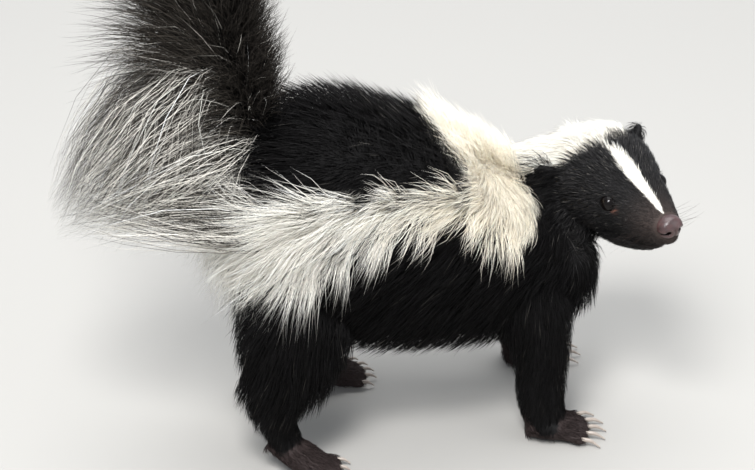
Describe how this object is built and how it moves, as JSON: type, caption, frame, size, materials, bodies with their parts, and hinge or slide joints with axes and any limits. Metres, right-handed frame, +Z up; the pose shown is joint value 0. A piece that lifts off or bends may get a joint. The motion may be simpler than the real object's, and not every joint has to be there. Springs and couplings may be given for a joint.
{
  "type": "striped skunk figure",
  "caption": "Life-size striped skunk standing with its head turned aside and its tail raised in a plume, black with white stripes along the back.",
  "frame": {"origin": "on the floor under the middle of the outline, soles at z = 0", "axes": "+X from rump to chest, +Y to the animal's left, +Z up"},
  "size_m": [0.3198, 0.1304, 0.3855],
  "materials": {
    "black_coat": "near-black fur with grey glints",
    "white_coat": "cream-white long fur",
    "plume_coat": "mixed black and white long hair",
    "nose_skin": "moist purplish-brown bare skin",
    "eye_surface": "glossy black-brown",
    "claw_horn": "pale horn"
  },
  "bodies": {
    "root": {"trunk": "black_coat", "neck": "white_coat", "ear_right": "black_coat", "ear_left": "black_coat", "nose": "nose_skin", "lower_jaw": "black_coat", "head": "black_coat", "eye_right": "eye_surface", "eye_left": "eye_surface", "tail_root": "plume_coat", "tail_middle": "plume_coat", "tail_tip": "plume_coat", "fore_right_upper": "black_coat", "fore_right_lower": "black_coat", "fore_right_paw": "black_coat", "fore_right_claw_1": "claw_horn", "fore_right_claw_2": "claw_horn", "fore_right_claw_3": "claw_horn", "fore_right_claw_4": "claw_horn", "fore_right_claw_5": "claw_horn", "fore_left_upper": "black_coat", "fore_left_lower": "black_coat", "fore_left_paw": "black_coat", "fore_left_claw_1": "claw_horn", "fore_left_claw_2": "claw_horn", "fore_left_claw_3": "claw_horn", "fore_left_claw_4": "claw_horn", "fore_left_claw_5": "claw_horn", "hind_right_upper": "black_coat", "hind_right_lower": "black_coat", "hind_right_paw": "black_coat", "hind_right_claw_1": "claw_horn", "hind_right_claw_2": "claw_horn", "hind_right_claw_3": "claw_horn", "hind_right_claw_4": "claw_horn", "hind_right_claw_5": "claw_horn", "hind_left_upper": "black_coat", "hind_left_lower": "black_coat", "hind_left_paw": "black_coat", "hind_left_claw_1": "claw_horn", "hind_left_claw_2": "claw_horn", "hind_left_claw_3": "claw_horn", "hind_left_claw_4": "claw_horn", "hind_left_claw_5": "claw_horn"}
  },
  "joints": []
}
